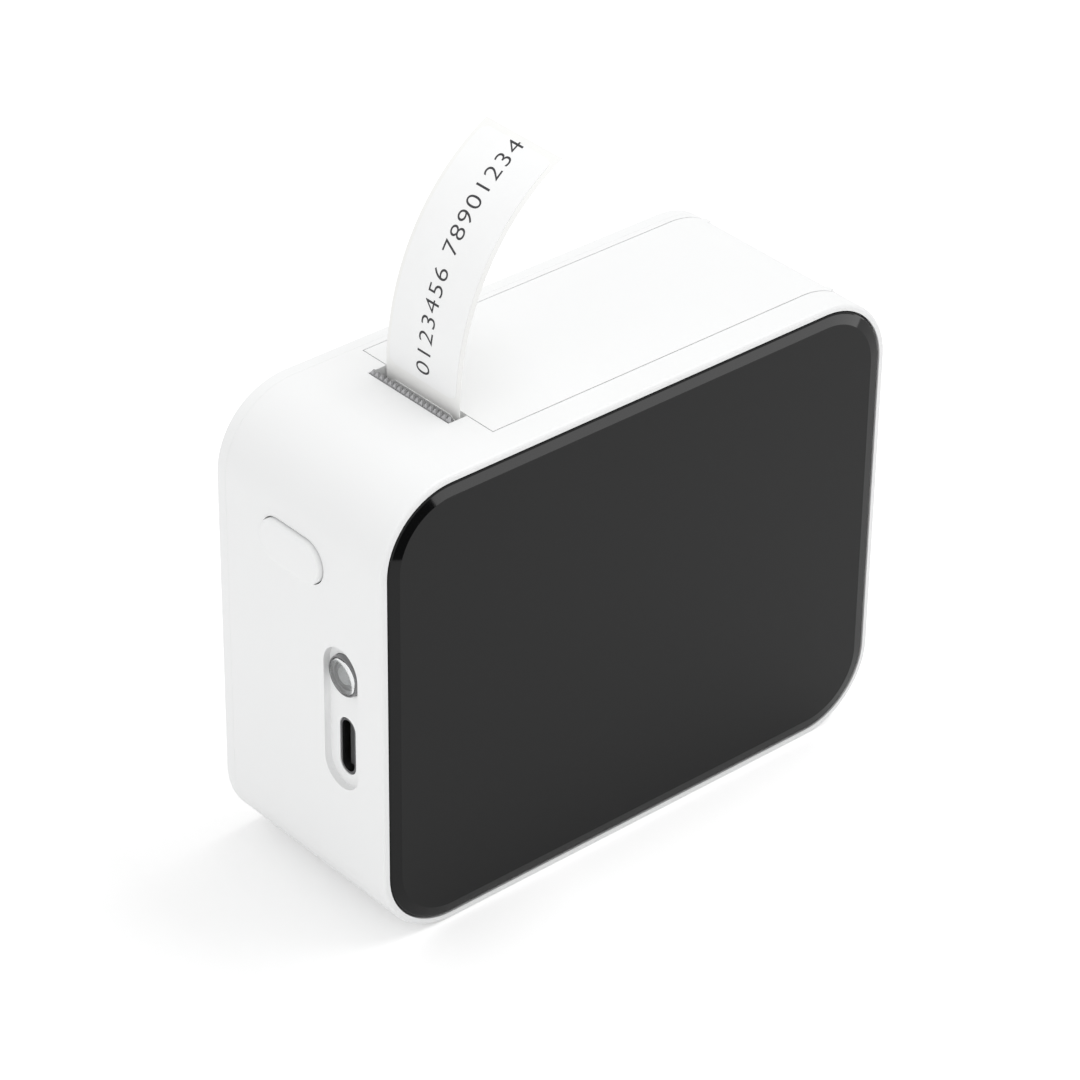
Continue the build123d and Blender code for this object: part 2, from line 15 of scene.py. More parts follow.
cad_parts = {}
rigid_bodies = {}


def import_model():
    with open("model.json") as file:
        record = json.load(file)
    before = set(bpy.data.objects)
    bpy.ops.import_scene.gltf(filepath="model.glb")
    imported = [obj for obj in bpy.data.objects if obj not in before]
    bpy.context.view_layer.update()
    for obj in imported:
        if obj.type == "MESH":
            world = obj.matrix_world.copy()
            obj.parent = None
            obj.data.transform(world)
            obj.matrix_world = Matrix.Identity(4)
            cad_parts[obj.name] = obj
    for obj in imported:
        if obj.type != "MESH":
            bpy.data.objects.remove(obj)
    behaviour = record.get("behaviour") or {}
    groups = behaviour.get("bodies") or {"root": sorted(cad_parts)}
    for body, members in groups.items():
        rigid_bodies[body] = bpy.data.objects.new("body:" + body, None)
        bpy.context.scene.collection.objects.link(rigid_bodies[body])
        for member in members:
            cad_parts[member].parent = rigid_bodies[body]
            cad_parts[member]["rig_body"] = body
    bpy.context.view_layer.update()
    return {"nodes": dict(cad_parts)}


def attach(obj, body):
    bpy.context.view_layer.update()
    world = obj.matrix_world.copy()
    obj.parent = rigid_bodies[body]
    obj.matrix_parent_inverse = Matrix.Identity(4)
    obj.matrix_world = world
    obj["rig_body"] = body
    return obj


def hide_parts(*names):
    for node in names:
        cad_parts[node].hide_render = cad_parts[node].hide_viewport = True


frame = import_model()
nodes = frame["nodes"]
scene = bpy.context.scene
MM = 0.001
print("nodes", len(nodes))

# %% [markdown]
# ## Sizes that are shared with the model
# These are the same numbers as in the CAD source, in metres here, because
# new pieces have to land exactly where the old ones were. The body stands
# centred on X and Y, with its front rim at front_y.

# %% Sizes
width, height, corner_r = 92 * MM, 73 * MM, 12 * MM
front_y = -18 * MM
tape_front, tape_back = -7.6 * MM, 7.9 * MM
tape_mid = (tape_front + tape_back) / 2
platen_x, platen_z, platen_r = -20.35 * MM, 63 * MM, 3.5 * MM
roll_x, roll_z, roll_r, core_r = 8 * MM, 34 * MM, 19 * MM, 6.4 * MM
path_gap = 0.02 * MM
liner_t, label_t = 0.10 * MM, 0.10 * MM
label_wide = 14 * MM
free_step, free_steps = 1.1 * MM, 36
free_len = free_step * free_steps
free_turn, free_power = math.radians(62), 1.22
recess_y, socket_z, power_z = -9 * MM, 29.5 * MM, 41.3 * MM
print("body", width, height, "free tape", round(free_len, 4), "m")

# %% [markdown]
# ## Camera
# The photograph looks down on the left end and the front. The camera is a
# long lens, so that the body's edges stay nearly parallel. Its place was
# found by fitting the body's corners to the picture, so it is set as three
# axes and a point, which a pair of angles could not give as exactly.

# %% Camera
camera_data = bpy.data.cameras.new("camera")
camera_data.sensor_width = 36.0
camera_data.lens = 149.03
camera_data.clip_start = 0.01
camera_data.clip_end = 50
camera = bpy.data.objects.new("camera", camera_data)
scene.collection.objects.link(camera)
eye = Vector((-0.35008, -0.39895, 0.38569))
view_right = Vector((0.75861009, -0.651465, 0.01020226))
view_up = Vector((0.34928281, 0.41984731, 0.83769311))
view_back = Vector((-0.55001113, -0.63191898, 0.54604593))
turn = Matrix((view_right, view_up, view_back)).transposed().to_4x4()
camera.matrix_world = Matrix.Translation(eye) @ turn
scene.camera = camera
print("camera at", tuple(round(v, 4) for v in eye), "metres from the printer", round(eye.length, 3))

# %% [markdown]
# ## A small language for shading
# Shader maths is easier to read as expressions than as boxes and wires. A
# Wire is one output socket, and adding, subtracting, multiplying or raising
# it makes the Math node that does the same.

# %% Wires
class Wire:
    """One output socket that can be used in an expression."""

    def __init__(self, recipe, socket):
        self.recipe = recipe
        self.socket = socket

    def __add__(self, other):
        return self.recipe.maths("ADD", self, other)

    def __radd__(self, other):
        return self.recipe.maths("ADD", other, self)

    def __sub__(self, other):
        return self.recipe.maths("SUBTRACT", self, other)

    def __rsub__(self, other):
        return self.recipe.maths("SUBTRACT", other, self)

    def __mul__(self, other):
        return self.recipe.maths("MULTIPLY", self, other)

    def __rmul__(self, other):
        return self.recipe.maths("MULTIPLY", other, self)

    def __pow__(self, other):
        return self.recipe.maths("POWER", self, other)

    def __rpow__(self, other):
        return self.recipe.maths("POWER", other, self)


print("a Wire can be added, subtracted, multiplied and raised to a power")

# %% [markdown]
# ## One method for every other node
# make takes a node's type, its settings, and what goes into its sockets. The
# settings come first, because some of them decide which sockets there are.
# A value is a number, a colour, a vector or a Wire, and feed tells them apart.

# %% Recipes
class Made:
    """A node whose outputs are read as Wires, by name or by number."""

    def __init__(self, recipe, node):
        self.recipe = recipe
        self.node = node

    def __getitem__(self, key):
        return Wire(self.recipe, self.node.outputs[key])


class Recipe:
    """A node tree that starts empty and is filled by make."""

    def __init__(self, tree):
        self.tree = tree
        tree.nodes.clear()

    def feed(self, socket, value):
        if isinstance(value, Wire):
            self.tree.links.new(value.socket, socket)
        elif socket.type == "RGBA":
            socket.default_value = (*value, 1)
        else:
            socket.default_value = value

    def make(self, kind, settings=None, sockets=None):
        node = self.tree.nodes.new(kind)
        for name, value in (settings or {}).items():
            setattr(node, name, value)
        for key, value in (sockets or {}).items():
            self.feed(node.inputs[key], value)
        return Made(self, node)

    def maths(self, operation, first, second=0.0, clamped=False):
        settings = {"operation": operation, "use_clamp": clamped}
        return self.make("ShaderNodeMath", settings, {0: first, 1: second})[0]


print("a Recipe knows", [name for name in vars(Recipe) if not name.startswith("_")])

# %% [markdown]
# ## Light
# A white product photograph has light from everywhere and only a faint
# shadow. The world gives the even part. To the camera, to gloss and to clear
# pieces it looks white, so the background and the mirrors are white without
# more light on the printer.

# %% World
room_light = 0.72
scene.view_settings.view_transform = "Standard"
scene.world = bpy.data.worlds.new("studio")
scene.world.use_nodes = True
room = Recipe(scene.world.node_tree)
rays = room.make("ShaderNodeLightPath")
mirrored = room.maths("MAXIMUM", rays["Is Transmission Ray"], rays["Is Glossy Ray"])
seen = room.maths("MAXIMUM", rays["Is Camera Ray"], mirrored)
soft = room.make("ShaderNodeBackground", {}, {"Color": (1, 1, 1), "Strength": room_light})
white = room.make("ShaderNodeBackground", {}, {"Color": (1, 1, 1), "Strength": 1.0})
picked = room.make("ShaderNodeMixShader", {}, {0: seen, 1: soft[0], 2: white[0]})
room.make("ShaderNodeOutputWorld", {}, {"Surface": picked[0]})
print("room light", room_light)

# %% [markdown]
# ## Lamps
# A large soft lamp high on the right makes the top brighter than the ends,
# and a weak one fills the left. Large lamps keep the shadows' edges soft.

# %% Lamps
aim = Vector((0, 0, 0.03))


def lamp(name, place, size, power):
    """One square lamp that points from place at the middle of the printer."""
    data = bpy.data.lights.new(name, "AREA")
    data.shape = "SQUARE"
    data.size = size
    data.energy = power
    obj = bpy.data.objects.new(name, data)
    scene.collection.objects.link(obj)
    place = Vector(place)
    look = (aim - place).to_track_quat("-Z", "Y")
    obj.matrix_world = Matrix.Translation(place) @ look.to_matrix().to_4x4()
    print(name, "size", size, "power", power)


lamp("top_lamp", (0.28, -0.12, 0.88), size=0.7, power=3.4)
lamp("left_lamp", (-0.95, -0.10, 0.35), size=0.7, power=1.3)

# %% [markdown]
# ## What all finishes share
# Every finish is one Principled shader with a few patterns. The patterns
# read Object coordinates, which are metres in the printer's own frame, so
# they need no unwrapping and stay put when a piece moves.

# %% Finish
class Finish(Recipe):
    """A material with one Principled shader, whose sockets set fills."""

    def __init__(self, name):
        self.material = bpy.data.materials.new(name)
        self.material.use_nodes = True
        super().__init__(self.material.node_tree)
        made = self.make("ShaderNodeBsdfPrincipled")
        self.shader = made.node
        self.make("ShaderNodeOutputMaterial", {}, {"Surface": made[0]})

    def set(self, sockets):
        for name, value in sockets.items():
            self.feed(self.shader.inputs[name], value)

    def place(self):
        return self.make("ShaderNodeTexCoord")["Object"]

    def noise(self, scale, detail=2.0, rough=0.5, at=None):
        return self.make("ShaderNodeTexNoise", {}, {"Vector": at or self.place(), "Scale": scale,
                                                    "Detail": detail, "Roughness": rough})[0]

    def mix(self, factor, first, second):
        return self.make("ShaderNodeMix", {"data_type": "RGBA"},
                         {0: factor, 6: first, 7: second})[2]

    def bump(self, height_wire, strength, distance):
        made = self.make("ShaderNodeBump", {}, {"Strength": strength, "Distance": distance,
                                                "Height": height_wire})
        self.set({"Normal": made[0]})


def darker(colour, share):
    return tuple(c * (1 - share) for c in colour)


print("white less a tenth", darker((1, 1, 1), 0.1))

# %% [markdown]
# ## Moulded plastics
# The body is white plastic from a finely etched mould. It has a satin gloss
# that wavers a little, a grain of a few hundredths of a millimetre, and a
# very slight flow cloudiness in its colour. The same recipe with other
# numbers gives the grey frames and the natural gears.

# %% Plastics
def moulded(name, colour, rough, grain=2400.0, bite=0.10, cloud=0.03):
    """Etched plastic: grain and bite are the etching's fineness and depth, cloud its patches."""
    f = Finish(name)
    cloudy = f.noise(scale=38.0, detail=3.0)
    fine = f.noise(scale=grain, rough=0.6)
    f.set({"Base Color": f.mix(cloudy, darker(colour, cloud), colour),
           "Roughness": rough + (fine - 0.5) * 0.12})
    f.bump(fine, strength=bite, distance=0.03 * MM)
    return f.material


white_shell = moulded("satin_white_shell", (0.88, 0.885, 0.885), 0.42)
white_lid = moulded("satin_white_lid", (0.885, 0.89, 0.89), 0.40)
white_button = moulded("satin_white_button", (0.885, 0.89, 0.89), 0.36)
grey_frame = moulded("grey_frame_plastic", (0.16, 0.17, 0.18), 0.5,
                     grain=1500, bite=0.2, cloud=0.1)
black_part = moulded("black_moulding", (0.02, 0.02, 0.021), 0.45,
                     grain=1500, bite=0.15, cloud=0.1)
natural_gear = moulded("natural_acetal", (0.80, 0.79, 0.74), 0.38,
                       grain=1800, bite=0.08, cloud=0.05)
cream_socket = moulded("cream_connector", (0.82, 0.79, 0.70), 0.4,
                       grain=1800, bite=0.08, cloud=0.05)
print("finishes so far", len(bpy.data.materials))

# %% [markdown]
# ## The black front panel
# The panel is clear sheet, black on its back, so it is almost a mirror: all
# that one sees is reflection. A faint waviness and a few specks of dust keep
# it from looking like a hole. The specular level is about half of the usual
# one, which makes the mirrored room as dark as it is in the photograph.

# %% Panel gloss
def gloss_panel():
    f = Finish("black_gloss_panel")
    wide = f.noise(scale=9.0)
    dust = f.noise(scale=5200.0, detail=1.0, rough=0.4)
    speck = f.maths("GREATER_THAN", dust, 0.80)
    f.set({"Base Color": f.mix(speck * 0.35, (0.0045, 0.0046, 0.0048), (0.03, 0.03, 0.03)),
           "Roughness": 0.045 + wide * 0.02, "IOR": 1.5, "Specular IOR Level": 0.245})
    f.bump(wide, strength=0.04, distance=0.2 * MM)
    return f.material


panel_gloss = gloss_panel()
print("made", panel_gloss.name)

# %% [markdown]
# ## Metals
# Drawn, turned and plated metals differ in how rough they are and in which
# way their marks run. A noise that is stretched along one axis draws the
# lines.

# %% Metals
def metal(name, colour, rough, stretch=(1, 1, 1), scale=900.0):
    """Bare metal: stretch squeezes or draws out its marks along X, Y and Z."""
    f = Finish(name)
    at = f.make("ShaderNodeMapping", {}, {"Vector": f.place(), "Scale": stretch})[0]
    marks = f.noise(scale, detail=3.0, rough=0.6, at=at)
    patch = f.noise(scale=160.0)
    f.set({"Base Color": f.mix(patch, darker(colour, 0.18), colour), "Metallic": 1.0,
           "Roughness": rough + (marks - 0.5) * 0.2})
    f.bump(marks, strength=0.15, distance=0.02 * MM)
    return f.material


dark_steel = metal("dark_toothed_steel", (0.50, 0.50, 0.51), 0.42, stretch=(1, 0.1, 1))
ground_steel = metal("ground_steel", (0.66, 0.66, 0.67), 0.22, stretch=(1, 8, 1))
zinc_steel = metal("zinc_screw", (0.72, 0.73, 0.75), 0.3)
spring_steel = metal("spring_wire", (0.60, 0.60, 0.61), 0.28)
can_steel = metal("motor_can", (0.56, 0.56, 0.57), 0.32, stretch=(1, 0.15, 1), scale=700)
sink_alloy = metal("heat_sink_alloy", (0.80, 0.80, 0.81), 0.36, stretch=(1, 0.12, 1), scale=800)
brass = metal("turned_brass", (0.74, 0.56, 0.26), 0.26, stretch=(1, 6, 1))
gold = metal("gold_contact", (0.90, 0.68, 0.30), 0.24)
# The socket's shell is coloured near black: painted shade for the dark inside the opening, where
# bare plated steel would show a bright ring
shade_dark_socket_steel = metal("socket_shell_painted_shade", (0.13, 0.13, 0.135), 0.4)
solder = metal("solder", (0.70, 0.71, 0.72), 0.3)
print("finishes so far", len(bpy.data.materials))

# %% [markdown]
# ## Paper
# Label stock is coated paper: nearly white, with a soft low gloss. The liner
# is yellower and slicker, and the core is coarse board. One recipe with a
# fine fibre noise does for all three.

# %% Paper
def paper(name, colour, rough, bite=0.12):
    f = Finish(name)
    fibre = f.noise(scale=1900.0, detail=4.0, rough=0.65)
    cloud = f.noise(scale=240.0)
    f.set({"Base Color": f.mix(cloud, darker(colour, 0.035), colour),
           "Roughness": rough + (fibre - 0.5) * 0.1})
    f.bump(fibre, strength=bite, distance=0.02 * MM)
    return f.material


label_paper = paper("coated_label", (0.955, 0.96, 0.96), 0.40)
liner_paper = paper("slick_liner", (0.94, 0.94, 0.925), 0.32)
core_board = paper("core_board", (0.62, 0.52, 0.38), 0.8, bite=0.4)
print("papers", label_paper.name, liner_paper.name, core_board.name)

# %% [markdown]
# ## The wound roll
# The roll's two faces show its layers as fine rings. A wave of the distance
# from the roll's axis draws them, and a noise of the same distance makes
# some turns darker than others. The rings stay sharp from close by, which
# those of an image would not.

# %% Wound paper
ring_rate, band_rate = 31000.0, 2600.0


def wound_paper():
    f = Finish("wound_label_roll")
    parts = f.make("ShaderNodeSeparateXYZ", {}, {0: f.place()})
    dx = parts["X"] - roll_x
    dz = parts["Z"] - roll_z
    radius = (dx * dx + dz * dz) ** 0.5
    ring = f.maths("SINE", radius * ring_rate)
    bands = f.make("ShaderNodeTexNoise", {"noise_dimensions": "1D"},
                   {"W": radius * band_rate, "Scale": 1.0, "Detail": 3.0, "Roughness": 0.7})[0]
    layers = (ring * 0.5 + 0.5) * 0.25 + bands * 0.75
    f.set({"Base Color": f.mix(layers, (0.58, 0.55, 0.48), (0.93, 0.92, 0.89)),
           "Roughness": 0.75})
    f.bump(ring, strength=0.4, distance=0.03 * MM)
    return f.material


roll_paper = wound_paper()
print("made", roll_paper.name, "from ring to ring mm", round(2 * math.pi / ring_rate / MM, 3))

# %% [markdown]
# ## Ink, rubber, foil, foam and ceramic
# The rest of the pieces have one even colour and differ in gloss and in the
# size of their grain. A single noise drives the colour, the gloss and the
# bump, so one short recipe covers them.

# %% Plain finishes
def plain(name, colour, rough, scale, bite, spread=0.15):
    """One noise of this scale moves the colour by spread and the surface by bite."""
    f = Finish(name)
    grain = f.noise(scale, detail=3.0, rough=0.6)
    f.set({"Base Color": f.mix(grain, darker(colour, spread), colour),
           "Roughness": rough + (grain - 0.5) * 0.15})
    f.bump(grain, strength=bite, distance=0.03 * MM)
    return f.material


ink = plain("thermal_print", (0.028, 0.028, 0.032), 0.5, scale=2600, bite=0.1)
rubber = plain("ground_rubber", (0.022, 0.022, 0.024), 0.72, scale=1600, bite=0.5)
foil = plain("battery_foil", (0.55, 0.56, 0.58), 0.38, scale=420, bite=0.2, spread=0.08)
foam = plain("foam_pad", (0.05, 0.05, 0.055), 0.95, scale=1400, bite=1.0, spread=0.4)
ceramic = plain("glazed_ceramic", (0.50, 0.44, 0.36), 0.18, scale=900, bite=0.05)
chip_case = plain("chip_case", (0.018, 0.018, 0.02), 0.55, scale=2600, bite=0.3)
tan_chip = plain("tan_capacitor", (0.45, 0.30, 0.17), 0.5, scale=2600, bite=0.2)
print("finishes so far", len(bpy.data.materials))

# %% [markdown]
# ## The green board
# Solder mask is a clear green coat over copper tracks, which show through as
# slightly raised paler lines. The edges of a cell pattern stand for them,
# since real tracks would be drawn one by one for little gain.

# %% Solder mask
def board_mask():
    f = Finish("green_solder_mask")
    cell = f.make("ShaderNodeTexVoronoi", {"feature": "DISTANCE_TO_EDGE"},
                  {"Vector": f.place(), "Scale": 520.0})[0]
    track = f.maths("LESS_THAN", cell, 0.06)
    f.set({"Base Color": f.mix(track, (0.012, 0.115, 0.055), (0.03, 0.19, 0.10)),
           "Roughness": 0.3})
    f.bump(track, strength=0.3, distance=0.03 * MM)
    return f.material


green_board = board_mask()
print("made", green_board.name)

# %% [markdown]
# ## Frosted light guide
# The power button is a clear piece with a frosted back, so light from the
# board glows through. Transmission alone would look empty, so some diffuse
# body is kept under a clear coat.

# %% Light guide
def light_guide():
    f = Finish("frosted_light_guide")
    frost = f.noise(scale=700.0)
    f.set({"Base Color": f.mix(frost, (0.60, 0.62, 0.62), (0.74, 0.76, 0.76)),
           "Roughness": 0.16 + frost * 0.06, "Transmission Weight": 0.45, "Coat Weight": 0.6})
    return f.material


guide_clear = light_guide()
print("made", guide_clear.name)

# %% [markdown]
# ## Dressing the CAD nodes
# A node whose shape is already right only needs its finish. Those that are
# replaced further down hand theirs on to the new piece.

# %% Assign finishes
def dress(obj, material):
    obj.data.materials.clear()
    obj.data.materials.append(material)


node_finish = {
    "main_shell": white_shell, "rear_cover": white_shell, "lid": white_lid,
    "front_panel": panel_gloss, "release_button": white_button,
    "power_lens": guide_clear, "status_led": guide_clear,
    "tear_bar": dark_steel, "hinge_pin": ground_steel, "housing_screws": zinc_steel,
    "chassis_screws": zinc_steel, "bay_screws": zinc_steel, "board_screws": zinc_steel,
    "print_chassis": grey_frame, "roll_bay": grey_frame, "roll_spindle": grey_frame,
    "latch_slider": grey_frame, "print_head": ceramic, "heat_sink": sink_alloy,
    "head_spring": spring_steel, "latch_spring": spring_steel,
    "gap_sensor": black_part, "idler_axle": ground_steel, "stepper_motor": can_steel,
    "motor_shaft": ground_steel, "motor_pinion": brass, "idler_gear": natural_gear,
    "platen_gear": natural_gear, "platen_roller": rubber, "platen_shaft": ground_steel,
    "platen_bushings": brass, "label_roll": roll_paper, "roll_core": core_board,
    "liner_tape": liner_paper, "printed_label": label_paper, "next_label": label_paper,
    "main_board": green_board, "board_chips": chip_case, "board_connectors": cream_socket,
    "usb_shell": shade_dark_socket_steel, "usb_tongue": black_part, "power_switch": black_part,
    "battery": foil, "battery_pad": foam,
}
for name, material in node_finish.items():
    dress(nodes[name], material)
print("dressed", len(node_finish), "left", sorted(set(nodes) - set(node_finish)))

# %% [markdown]
# ## From a bmesh to a piece of the printer
# Each new piece is shaped as a bmesh, becomes a mesh with smooth shading
# that stops at its sharp edges, gets its finish and is tied to the body that
# carries it, and the nodes that it stands for are hidden.

# %% Pieces
def finished_mesh(bm, name, angle, place=Matrix()):
    """Puts the bmesh in its place, and shades it flat across edges over angle degrees."""
    bmesh.ops.transform(bm, matrix=place, verts=bm.verts)
    mesh = bpy.data.meshes.new(name)
    bm.to_mesh(mesh)
    bm.free()
    for polygon in mesh.polygons:
        polygon.use_smooth = True
    mesh.set_sharp_from_angle(angle=math.radians(angle))
    return mesh


def link_piece(name, mesh, body, material, replaced=()):
    obj = bpy.data.objects.new(name, mesh)
    scene.collection.objects.link(obj)
    dress(obj, material)
    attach(obj, body)
    if replaced:
        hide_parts(*replaced)
    print(name, "on", body, "faces", len(mesh.polygons))
    return obj


# %% [markdown]
# ## Which edges to soften
# The body's outline is a rounded rectangle that runs straight back, so the
# distance from that outline tells an edge on the skin from one inside. The
# lid is only softened on the skin, because the small steps inside it are
# too close together for a bevel.

# %% Skin and rim
def outline_gap(co):
    """How far a point lies outside the body's rounded outline, seen from the front."""
    x = abs(co.x) - (width / 2 - corner_r)
    z = abs(co.z - height / 2) - (height / 2 - corner_r)
    if x > 0 and z > 0:
        return math.hypot(x, z) - corner_r
    return max(x, z) - corner_r


def on_skin(co):
    return abs(outline_gap(co)) < 0.05 * MM


def on_front_rim(co):
    return on_skin(co) and abs(co.y - front_y) < 0.02 * MM


print("middle of the left end is on the skin:", on_skin(Vector((-width / 2, 0, height / 2))))

# %% [markdown]
# ## Softened housings
# Moulded edges are never knife sharp: even a tenth of a millimetre catches
# the light as a thin bright line, and the front rim of the body has half a
# millimetre. A copy of the node is welded, its flat faces are joined up
# again, and only its sharp edges are bevelled. A Bevel modifier on the node
# itself would find no edges, because its triangles are loose.

# %% Soften
def sharp_edges(bm, sharp, where=None):
    return [e for e in bm.edges if len(e.link_faces) == 2
            and e.calc_face_angle(0) > math.radians(sharp)
            and (where is None or all(where(v.co) for v in e.verts))]


def round_edges(bm, edges, offset, segments, clamp=True):
    bmesh.ops.bevel(bm, geom=edges, offset=offset, offset_type="OFFSET", affect="EDGES",
                    segments=segments, profile=0.5, material=-1, clamp_overlap=clamp)


def softened(node, offset, sharp=38, where=None, rim=0.0):
    """Copy of a CAD node with rounded sharp edges, and a wider bevel on the front rim."""
    bm = bmesh.new()
    bm.from_mesh(nodes[node].data)
    bmesh.ops.remove_doubles(bm, verts=bm.verts, dist=0.002 * MM)
    bmesh.ops.dissolve_limit(bm, angle_limit=math.radians(1.0), verts=bm.verts,
                             edges=bm.edges, delimit=set())
    if rim:
        round_edges(bm, sharp_edges(bm, sharp, on_front_rim), rim, segments=5, clamp=False)
    round_edges(bm, sharp_edges(bm, sharp, where), offset, segments=2)
    mesh = finished_mesh(bm, node + "_soft", angle=32)
    piece = link_piece(node + "_soft", mesh, nodes[node]["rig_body"],
                       nodes[node].data.materials[0], (node,))
    weighted = piece.modifiers.new("weighted", "WEIGHTED_NORMAL")
    weighted.keep_sharp = True


softened("main_shell", 0.10 * MM, rim=0.5 * MM)
softened("rear_cover", 0.10 * MM)
softened("lid", 0.10 * MM, where=on_skin)

# %% [markdown]
# ## Softened inner pieces
# What shows when the lid is up gets its edges broken too: moulded frames by
# a tenth of a millimetre, stamped and turned metal by less.

# %% Inner pieces
inner_pieces = {
    "print_chassis": (0.12, "grey_plastic"), "roll_bay": (0.12, "grey_plastic"),
    "roll_spindle": (0.10, "grey_plastic"), "latch_slider": (0.12, "grey_plastic"),
    "heat_sink": (0.05, "aluminium"), "stepper_motor": (0.20, "motor_steel"),
    "chassis_screws": (0.06, "zinc_steel"), "bay_screws": (0.06, "zinc_steel"),
    "board_screws": (0.06, "zinc_steel"), "housing_screws": (0.06, "zinc_steel"),
    "platen_gear": (0.04, "gear_plastic"), "idler_gear": (0.04, "gear_plastic"),
    "motor_pinion": (0.03, "brass"), "platen_roller": (0.15, "rubber"),
    "platen_shaft": (0.12, "steel"), "idler_axle": (0.08, "steel"),
    "board_chips": (0.05, "black_plastic"), "battery": (0.15, "battery_wrap"),
}
for node, (radius, slot) in inner_pieces.items():
    softened(node, radius * MM, sharp=50)
print("inner pieces", len(inner_pieces))

# %% [markdown]
# ## Plates with shaped edges
# The glass-like panel and the oval button are one kind of shape: a rounded
# outline whose edge follows a small profile. The outline is a rectangle with
# its corners rounded by a vertex bevel. Each step of the profile insets the
# front face a little and moves it forwards, which a plain bevel could not
# do, since the panel's edge is part round and part flat.

# %% Shaped plates
def shaped_plate(wide, tall, radius, profile, corner_steps):
    """Plate in its own XY plane, front upwards. profile holds (inset, level) in mm."""
    steps = [(inset * MM, level * MM) for inset, level in profile]
    bm = bmesh.new()
    bmesh.ops.create_grid(bm, x_segments=1, y_segments=1, size=0.5)
    bmesh.ops.scale(bm, vec=(wide, tall, 1), verts=bm.verts)
    bmesh.ops.bevel(bm, geom=bm.verts[:], offset=radius, offset_type="OFFSET",
                    affect="VERTICES", segments=corner_steps, profile=0.5,
                    material=-1, clamp_overlap=False)
    bmesh.ops.remove_doubles(bm, verts=bm.verts, dist=0.012 * MM)
    bmesh.ops.translate(bm, vec=(0, 0, steps[0][1]), verts=bm.verts)
    made = bmesh.ops.extrude_face_region(bm, geom=bm.faces[:], use_keep_orig=True)
    moved = [g for g in made["geom"] if isinstance(g, bmesh.types.BMVert)]
    front = [g for g in made["geom"] if isinstance(g, bmesh.types.BMFace)]
    bmesh.ops.translate(bm, vec=(0, 0, steps[1][1] - steps[0][1]), verts=moved)
    for before, after in zip(steps[1:], steps[2:]):
        bmesh.ops.inset_region(bm, faces=front, thickness=after[0] - before[0],
                               depth=0, use_even_offset=True)
        bmesh.ops.translate(bm, vec=(0, 0, after[1] - before[1]), verts=front[0].verts[:])
    bmesh.ops.recalc_face_normals(bm, faces=bm.faces)
    return bm


facing_front = Matrix(((1, 0, 0, 0), (0, 0, -1, 0), (0, 1, 0, 0), (0, 0, 0, 1)))
facing_left = Matrix(((0, 0, -1, 0), (-1, 0, 0, 0), (0, 1, 0, 0), (0, 0, 0, 1)))
print("a front plate's up goes to", tuple(facing_front @ Vector((0, 0, 1))))

# %% [markdown]
# ## Front panel
# The sheet's edge has a flat facet, and outside it a small radius that runs
# down to the rim of the body. The facet mirrors another part of the room
# than the face does, which is what makes the panel look like glass.

# %% Front panel
panel_margin = 1.15 * MM
panel_profile = [(0.0, 16.8), (0.0, 17.55), (0.03, 17.74), (0.10, 17.87), (0.20, 17.95),
                 (0.32, 18.0), (1.80, 18.30)]
panel_bm = shaped_plate(width - 2 * panel_margin, height - 2 * panel_margin,
                        corner_r - panel_margin, panel_profile, corner_steps=28)
panel_place = Matrix.Translation((0, 0, height / 2)) @ facing_front
panel_mesh = finished_mesh(panel_bm, "panel_glass", angle=8, place=panel_place)
link_piece("panel_glass", panel_mesh, "housing", panel_gloss, ("front_panel",))

# %% [markdown]
# ## Release button
# The oval button stands proud of the left end, with a soft edge that a
# thumb can find. Behind the wall it has a flange that keeps it from
# falling out. The ends' radii are a hair under half the height, because a
# vertex bevel of exactly half would fold over.

# %% Release button
button_wide, button_tall, flange = 13.0 * MM, 6.6 * MM, 1.0 * MM
fold_gap = 0.004 * MM
button_r = button_tall / 2 - fold_gap
button_profile = [(0.0, 43.4), (0.0, 46.42), (0.04, 46.56), (0.12, 46.67), (0.23, 46.74),
                  (0.36, 46.78), (0.55, 46.80)]
flange_profile = [(0.0, 42.9), (0.0, 43.9)]
button_bm = shaped_plate(button_wide, button_tall, button_r, button_profile, corner_steps=16)
flange_bm = shaped_plate(button_wide + 2 * flange, button_tall + 2 * flange,
                         button_r + flange, flange_profile, corner_steps=16)
flange_mesh = bpy.data.meshes.new("flange")
flange_bm.to_mesh(flange_mesh)
flange_bm.free()
button_bm.from_mesh(flange_mesh)
button_place = Matrix.Translation((0, 1.0 * MM, 56.8 * MM)) @ facing_left
button_mesh = finished_mesh(button_bm, "button_soft", angle=24, place=button_place)
link_piece("button_soft", button_mesh, "release", white_button, ("release_button",))

# %% [markdown]
# ## Turned pieces
# Whatever a lathe could make is a profile of a few points that spin sweeps
# round an axis. The doubles on the axis are merged, and the normals are
# made to point outwards.

# %% Turned
def turned(name, profile, centre, axis, steps, angle):
    """Mesh of (radius, distance) points in millimetres, spun round an axis along X or Y."""
    bm = bmesh.new()
    out = Vector((1, 0, 0)) if axis.y else Vector((0, 1, 0))
    verts = [bm.verts.new((out * r + axis * d) * MM) for r, d in profile]
    edges = [bm.edges.new(pair) for pair in zip(verts, verts[1:])]
    bmesh.ops.spin(bm, geom=verts + edges, cent=(0, 0, 0), axis=axis, dvec=(0, 0, 0),
                   angle=2 * math.pi, steps=steps, use_merge=True, use_duplicate=False)
    bmesh.ops.remove_doubles(bm, verts=bm.verts, dist=0.0001 * MM)
    bmesh.ops.recalc_face_normals(bm, faces=bm.faces)
    return finished_mesh(bm, name, angle, Matrix.Translation(centre))


along_x, along_y = Vector((1, 0, 0)), Vector((0, 1, 0))
print("lathe axes", tuple(along_x), tuple(along_y))

# %% [markdown]
# ## Finishes of the power button
# A clear cap stands over a frosted core in a grey ring. The cap is real
# transmission, so that the core and the ring are seen through it.

